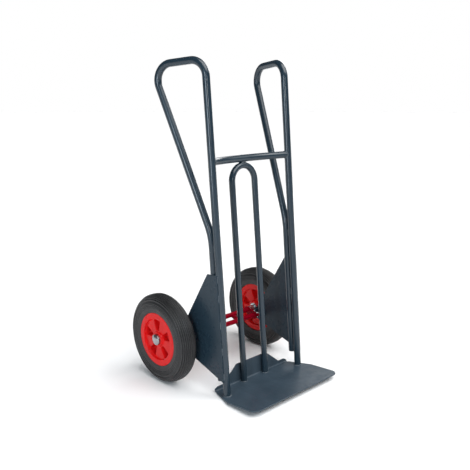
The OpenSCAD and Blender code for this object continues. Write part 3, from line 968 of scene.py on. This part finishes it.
def springs():
    """Torsion springs: hooked over the rest stop, coiled round the pivot bar, hooked over the axle."""
    hook = math.radians(150)
    seat = 0.0002
    pin = stop_place(1) - Vector((0, PIVOT.y, PIVOT.z))
    pin_c = (pin.y, pin.z)
    axle_c = (AXLE.y - PIVOT.y, AXLE.z - PIVOT.z)
    pin_r = STOP_PIN_R + WIRE_R + seat
    axle_r = BAR_R + WIRE_R + seat
    start = upper_tangent(pin_c, pin_r, (0, 0), COIL_R)
    end = upper_tangent((0, 0), COIL_R, axle_c, axle_r)
    turned = 2 * math.pi * COIL_TURNS + start - end
    pin_steps, coil_steps, axle_steps = 16, 48 * COIL_TURNS, 20

    def ring(x, c, r, a):
        return (x, PIVOT.y + c[0] + r * math.cos(a), PIVOT.z + c[1] + r * math.sin(a))

    path = [ring(SPRING_OUT_X, pin_c, pin_r, start + hook * (1 - k / pin_steps))
            for k in range(pin_steps + 1)]
    path += [
        ring(SPRING_OUT_X + (SPRING_IN_X - SPRING_OUT_X) * k / coil_steps, (0, 0), COIL_R,
             start - turned * k / coil_steps)
        for k in range(coil_steps + 1)
    ]
    path += [ring(SPRING_IN_X, axle_c, axle_r, end - hook * k / axle_steps)
             for k in range(axle_steps + 1)]
    for name, side in SIDES.items():
        points = split_long([TRUCK @ Vector(p) for p in mirrored(path, side)], 0.004)
        obj = sweep(f"{name}_torsion_spring", points, WIRE_R, sides=14)
        obj.data.materials.append(SPRING_ZINC)
        outer, inner = TRUCK @ PIVOT, TRUCK @ PIVOT
        outer.x, inner.x = side * SPRING_OUT_X, side * SPRING_IN_X
        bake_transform(obj)
        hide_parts(f"{name}_return_spring")


def ring_set(name, spot, rings, node, bevel=0.0004):
    """A group of rounded zinc rings round one bar, the same on both sides of the truck."""
    parts = [
        lathe("ring", ring_profile(x1, x2, r1, r2, bevel), 64, (0, spot.y, spot.z), side)
        for side in SIDES.values() for x1, x2, r1, r2 in rings
    ]
    finish_piece(join(name, parts), ZINC, "swing_axle", [node])


def small_rings():
    hole = BAR_R + RUN
    washer_t, gap = 0.002, 0.0002
    plate_x = SIDE_X + SIDE_T + gap
    inner_x = WHEEL_X + HUB_IN - washer_t - gap
    outer_x = WHEEL_X + HUB_OUT + gap
    sleeve_x = LINK_X + LINK_T + 0.0065
    ring_set("pivot_bar_washers", PIVOT, [(plate_x, plate_x + washer_t, hole, 0.016)],
             "pivot_washers")
    ring_set("wheel_washers", AXLE, [
        (inner_x, inner_x + washer_t, hole, 0.017),
        (outer_x, outer_x + washer_t, hole, 0.015)], "axle_washers")
    ring_set("wheel_sleeves", AXLE, [(sleeve_x, inner_x - gap, hole, BAR_R + 0.0035)],
             "axle_sleeves", 0.0008)


def clips():
    """Open spring rings with two eyed ends, one in each groove."""
    gap = math.radians(24)
    inner, outer, eye = BAR_R - 0.0007, BAR_R + 0.0022, 0.0024
    outline = arc((0, 0), outer, gap + 0.12, 2 * math.pi - gap - 0.12, 40)
    for sign in (-1, 1):
        a = sign * (gap - 0.06)
        centre = ((outer + 0.0004) * math.cos(a), (outer + 0.0004) * math.sin(a))
        turn = arc(centre, eye, a + sign * math.radians(100), a - sign * math.radians(110), 10)
        if sign < 0:
            outline += turn + arc((0, 0), inner, 2 * math.pi - gap + 0.1, gap - 0.1, 36)
        else:
            outline += reversed(turn)
    for name, spot, bar, node in (
        ("pivot_circlips", PIVOT, "pivot_bar", "pivot_clips"),
        ("axle_circlips", AXLE, "axle", "axle_clips"),
    ):
        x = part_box(bar)[1].x - CLIP_INSET
        loop = [(spot.y + y, spot.z + z) for y, z in outline]
        parts = [
            place_plate(sheet_metal("clip", [loop], 0.0012, bevel=0.0002), x, side)
            for side in SIDES.values()
        ]
        finish_piece(join(name, parts), CLIP_STEEL, "swing_axle", [node])


# ------------------------------------------------------------------ wheels

def tyre_profile():
    """The tyre's section as (width, radius): ribbed tread, rounded shoulders, lined side walls."""
    half_flat = TYRE_HALF_W - SHOULDER_R
    centre_r = TYRE_R - SHOULDER_R
    ribbed = half_flat + SHOULDER_R * math.radians(76)
    ribs, depth, sharpness = 11, 0.0030, 2.2
    pitch = 2 * ribbed / ribs

    def tread(s, drop):
        """The point s along the tread from its middle and drop below its surface."""
        a = max(abs(s) - half_flat, 0.0) / SHOULDER_R
        r = SHOULDER_R - PLAY - drop
        w = min(abs(s), half_flat) + r * math.sin(a)
        return (math.copysign(w, s), centre_r + r * math.cos(a))

    out = []
    for k in range(ribs):
        middle = -ribbed + (k + 0.5) * pitch
        for t in (-1.0, -0.92, -0.8, -0.62, -0.42, -0.2, 0.0, 0.2, 0.42, 0.62, 0.8, 0.92):
            out.append(tread(middle + t * pitch / 2, depth * abs(t) ** sharpness))
    out.append(tread(ribbed, depth))

    wall_ribs, wall_pitch, wall_depth = 3, 0.0060, 0.0015
    line_h, line_w = 0.0005, 0.0006

    def wall(r):
        """Half width of the side wall at a radius: three more ribs, then two raised lines."""
        sag = 0.0030 * ((centre_r - r) / (centre_r - RIM_R)) ** 2
        run = (centre_r - r) / wall_pitch
        rib = wall_depth * abs(2 * (run % 1) - 1) ** sharpness if run < wall_ribs else line_h
        line = sum(math.exp(-((r - at) / line_w) ** 2) for at in (0.1215, 0.1130))
        return TYRE_HALF_W - 0.0004 - sag - rib + line_h * min(line, 1.0)

    steps = 64
    low = RIM_R + 0.0016
    radii = [centre_r - (centre_r - low) * k / steps for k in range(steps + 1)]
    lip = wall(radii[-1])
    side = [(wall(r), r) for r in radii]
    side += [(lip - 0.0005, RIM_R + 0.0006), (lip - 0.0016, RIM_R + 0.0004)]

    def bead_seat(rim_w):
        """The corner behind the rim's flange."""
        return [(rim_w - 0.0042, RIM_R + 0.0004), (rim_w - 0.0042, RIM_SEAT_R + 0.0002)]

    inner_side = [(-w, r) for w, r in reversed(side + bead_seat(-RIM_IN))]
    return out + side + bead_seat(RIM_OUT) + inner_side


def smooth_min(values, k):
    """The least of the values, with its corners rounded over a distance k."""
    least = values[0]
    for v in values[1:]:
        h = max(k - abs(least - v), 0.0) / k
        least = min(least, v) - h * h * k / 4
    return least


def ease(t):
    t = min(max(t, 0.0), 1.0)
    return t * t * (3 - 2 * t)


def pocket_depth(r, angle):
    """0 on a rib, 1 on the floor of a pocket, with drafted walls and rounded corners."""
    away = max(POCKET_HALF_ANGLE - abs(angle), -0.3)
    inside = smooth_min([r * math.sin(away), r - POCKET_R1, POCKET_R2 - r], 0.006)
    return ease((inside + 0.0004) / 0.0032)


def face_level(r, angle, rib, hub, lip):
    """Width of a rim's face at a point: hub, ribs and pockets, and the lip of the flange."""
    level = rib + (hub - rib) * ease((HUB_R + 0.0012 - r) / 0.0024)
    level += (lip - rib) * ease((r - RIM_LIP_R + 0.0012) / 0.0026)
    return level + (WEB_HALF_T - level) * pocket_depth(r, angle)


def sector_angles(r):
    """Angles across one pocket and its rib at a radius, close together near the pocket's walls."""
    reach = max(r, POCKET_R1)
    near = (0.0034, 0.0028, 0.0022, 0.0016, 0.0010, 0.0004, -0.0004, -0.0012)
    wall = [POCKET_HALF_ANGLE - d / reach for d in near]
    inner = POCKET_HALF_ANGLE - 0.0042 / reach
    half_step = math.pi / POCKETS
    rib = [wall[-1] + (half_step - wall[-1]) * k / 6 for k in range(1, 6)]
    right = [inner * k / 4 for k in range(5)] + wall + rib
    return [-a for a in reversed(right[1:])] + right + [half_step]


def rim_radii():
    """Radii of the rings of points on a rim's face, close together where the face steps."""
    radii = [BORE_R + 0.0006, BORE_R + 0.0012, 0.024]
    radii += [HUB_R + d for d in (-0.0016, -0.0010, -0.0004, 0.0002, 0.0008, 0.0013)]
    steps = (-0.0010, -0.0004, 0.0, 0.0006, 0.0012, 0.0018, 0.0024, 0.0030, 0.0038)
    radii += [POCKET_R1 + d for d in steps]
    radii += [0.041, 0.046, 0.051, 0.057, 0.063, 0.069, 0.072]
    radii += [POCKET_R2 - d for d in reversed(steps)]
    radii += [RIM_LIP_R + d for d in (-0.0012, -0.0006, 0.0, 0.0006, 0.0012, 0.0018)]
    return sorted(radii) + [0.088, 0.094, 0.099, 0.1030]


def rims():
    """Each rim is one closed skin: outer face, flange, tyre seat, inner face and bore."""
    radii = rim_radii()
    flange = [(0.0001, 0.1038), (0.0005, 0.1046), (0.0013, RIM_R), (0.0034, RIM_R),
              (0.0040, 0.1044), (0.0040, 0.0955), (0.0046, RIM_SEAT_R)]
    seat = [(RIM_OUT - d, r) for d, r in flange] + [(RIM_IN + d, r) for d, r in reversed(flange)]
    bore = [(HUB_IN + 0.0008, BORE_R), (HUB_OUT - 0.0008, BORE_R)]
    columns = len(sector_angles(RIM_R))
    for name, side in SIDES.items():
        verts = []
        for n in range(POCKETS):
            centre = math.pi / 2 + n * (2 * math.pi / POCKETS)
            for c in range(columns):
                outer = [(face_level(r, sector_angles(r)[c], FACE_OUT, HUB_OUT, RIM_OUT), r)
                         for r in radii]
                inner = [(-face_level(r, sector_angles(r)[c], -FACE_IN, -HUB_IN, -RIM_IN), r)
                         for r in reversed(radii)]
                section = outer + seat + inner + bore
                for w, r in section:
                    turn = centre + sector_angles(r)[c]
                    verts.append(TRUCK @ Vector((
                        side * (WHEEL_X + w),
                        AXLE.y - r * math.cos(turn),
                        AXLE.z + r * math.sin(turn),
                    )))
        obj = piece(f"{name}_wheel_rim", verts, skin(POCKETS * columns, len(section)))
        tidy_mesh(obj, sharp_angle=60)
        finish_piece(obj, RIM_RED, f"{name}_wheel", [f"{name}_rim"])


def hub_cap_profile():
    """A pressed cap: a rolled edge, a straight skirt and a shallow dome."""
    base = HUB_OUT + 0.00018
    wall, shoulder, dome_h, dome_r = 0.0012, 0.0080, 0.0058, CAP_R - 0.0012
    skirt = [(0, 0.0214), (0.0003, 0.0219), (0.0010, 0.0220), (0.0016, 0.0219), (0.0020, CAP_R),
             (0.0066, CAP_R), (0.0073, CAP_R - 0.0002), (0.0078, CAP_R - 0.0007)]
    dome = [(base + shoulder + dome_h * (1 - (k / 10) ** 2), dome_r * k / 10)
            for k in range(10, -1, -1)]
    inside = [(base + shoulder + dome_h - wall, 0.0), (base + shoulder + 0.0030 - wall, 0.0145),
              (base + shoulder - wall, CAP_R - wall - 0.0006), (base, CAP_R - wall)]
    return [(base + x, r) for x, r in skirt] + dome + inside


def wheels():
    section = tyre_profile()
    cap = hub_cap_profile()
    for name, side in SIDES.items():
        tyre = lathe(f"{name}_tyre_ribbed", section, 192, AXLE, side)
        finish_piece(tyre, RUBBER, f"{name}_wheel", [f"{name}_tyre"])
        lid = lathe(f"{name}_pressed_hub_cap", cap, 64, AXLE, side, closed=False)
        finish_piece(lid, CAP_ZINC, f"{name}_wheel", [f"{name}_hub_cap"])


# ------------------------------------------------------------------ carried-over CAD nodes

def cad_looks(material, nodes):
    """Gives CAD nodes whose shape is right a better material."""
    for node in nodes:
        obj = frame["nodes"][node]
        obj.data.materials.clear()
        obj.data.materials.append(material)


side_tubes()
toe_plate()
side_plates()
stop_pins()
tube_caps()
frame_welds()
bars()
link_plates()
lugs()
axle_welds()
springs()
small_rings()
clips()
rims()
wheels()
cad_looks(TUBE_COAT, ["cross_tube", "center_hoop"])
cad_looks(BEARING_STEEL, ["bearing_inner_rings", "bearing_spacers"])
for wheel in SIDES:
    cad_looks(BEARING_STEEL,
              [f"{wheel}_bearing_outer_rings", f"{wheel}_bearing_balls"])


# ------------------------------------------------------------------ floor, light and camera

def floor():
    steps, radius = 96, 30.0
    ring = [(x, y, 0) for x, y in arc((0, 0), radius, 0, 2 * math.pi, steps)[:-1]]
    mesh = bpy.data.meshes.new("floor")
    mesh.from_pydata(ring, [], [tuple(range(steps))])
    obj = add_object("floor", mesh)
    look = Look("floor_pale", 0.8, specular=0.0)
    look.base(look.mottled(3.0, 3.0, grey(0.86), grey(0.88)))
    mesh.materials.append(look.material)


def light(name, place, target, size, power, height=None, colour=(1, 1, 1)):
    """A soft lamp that points at the target: a disc, or a panel if it has a height."""
    data = bpy.data.lights.new(name, "AREA")
    data.shape = "RECTANGLE" if height else "DISK"
    data.size = size
    if height:
        data.size_y = height
    data.energy = power
    data.color = colour
    obj = add_object(name, data)
    obj.location = place
    obj.rotation_euler = (Vector(target) - Vector(place)).to_track_quat("-Z", "Y").to_euler()
    obj.visible_camera = False


def sun(name, direction, softness, strength):
    """A very soft distant light that shines from a direction, like a studio's wide ceiling."""
    data = bpy.data.lights.new(name, "SUN")
    data.angle = math.radians(softness)
    data.energy = strength
    obj = add_object(name, data)
    obj.rotation_euler = Vector(direction).to_track_quat("Z", "Y").to_euler()


def world():
    """White where the camera looks past the truck, and a dim bluish light everywhere else."""
    scene_world = bpy.data.worlds.new("studio")
    bpy.context.scene.world = scene_world
    scene_world.use_nodes = True
    nodes, links = scene_world.node_tree.nodes, scene_world.node_tree.links
    seen = nodes["Background"]
    seen.inputs["Color"].default_value = (1, 1, 1, 1)
    seen.inputs["Strength"].default_value = 1.0
    lit = nodes.new("ShaderNodeBackground")
    lit.inputs["Color"].default_value = (0.92, 0.96, 1.0, 1)
    lit.inputs["Strength"].default_value = 0.12
    mix = nodes.new("ShaderNodeMixShader")
    links.new(nodes.new("ShaderNodeLightPath").outputs["Is Camera Ray"], mix.inputs["Fac"])
    links.new(lit.outputs["Background"], mix.inputs[1])
    links.new(seen.outputs["Background"], mix.inputs[2])
    links.new(mix.outputs["Shader"], nodes["World Output"].inputs["Surface"])


def camera():
    data = bpy.data.cameras.new("camera")
    data.lens = 48.335
    data.sensor_width = 36.0
    data.clip_end = 100.0
    obj = add_object("camera", data)
    obj.location = (-1.6569, -1.71785, 1.1212)
    drop, swing = math.radians(13.067), math.radians(43.5634)
    obj.rotation_euler = (math.pi / 2 - drop, 0, -swing)
    bpy.context.scene.camera = obj


floor()
world()
sun("sky_key", (0.05, -0.55, 1.0), 60, 3.2)
sun("sky_fill", (0.8, -0.5, 0.9), 50, 0.8)
light("front_lamp", (-1.6, -3.4, 1.6), (0, 0, 0.6), 0.4, 12)
light("left_panel", (-3.0, -1.0, 1.3), (-0.2, 0, 1.0), 0.5, 38, 1.4, (0.78, 0.9, 1.0))
light("back_panel", (3.6, 1.8, 2.2), (0, -0.2, 0), 1.6, 34, 1.2)
camera()
bpy.context.scene.view_settings.view_transform = "Standard"
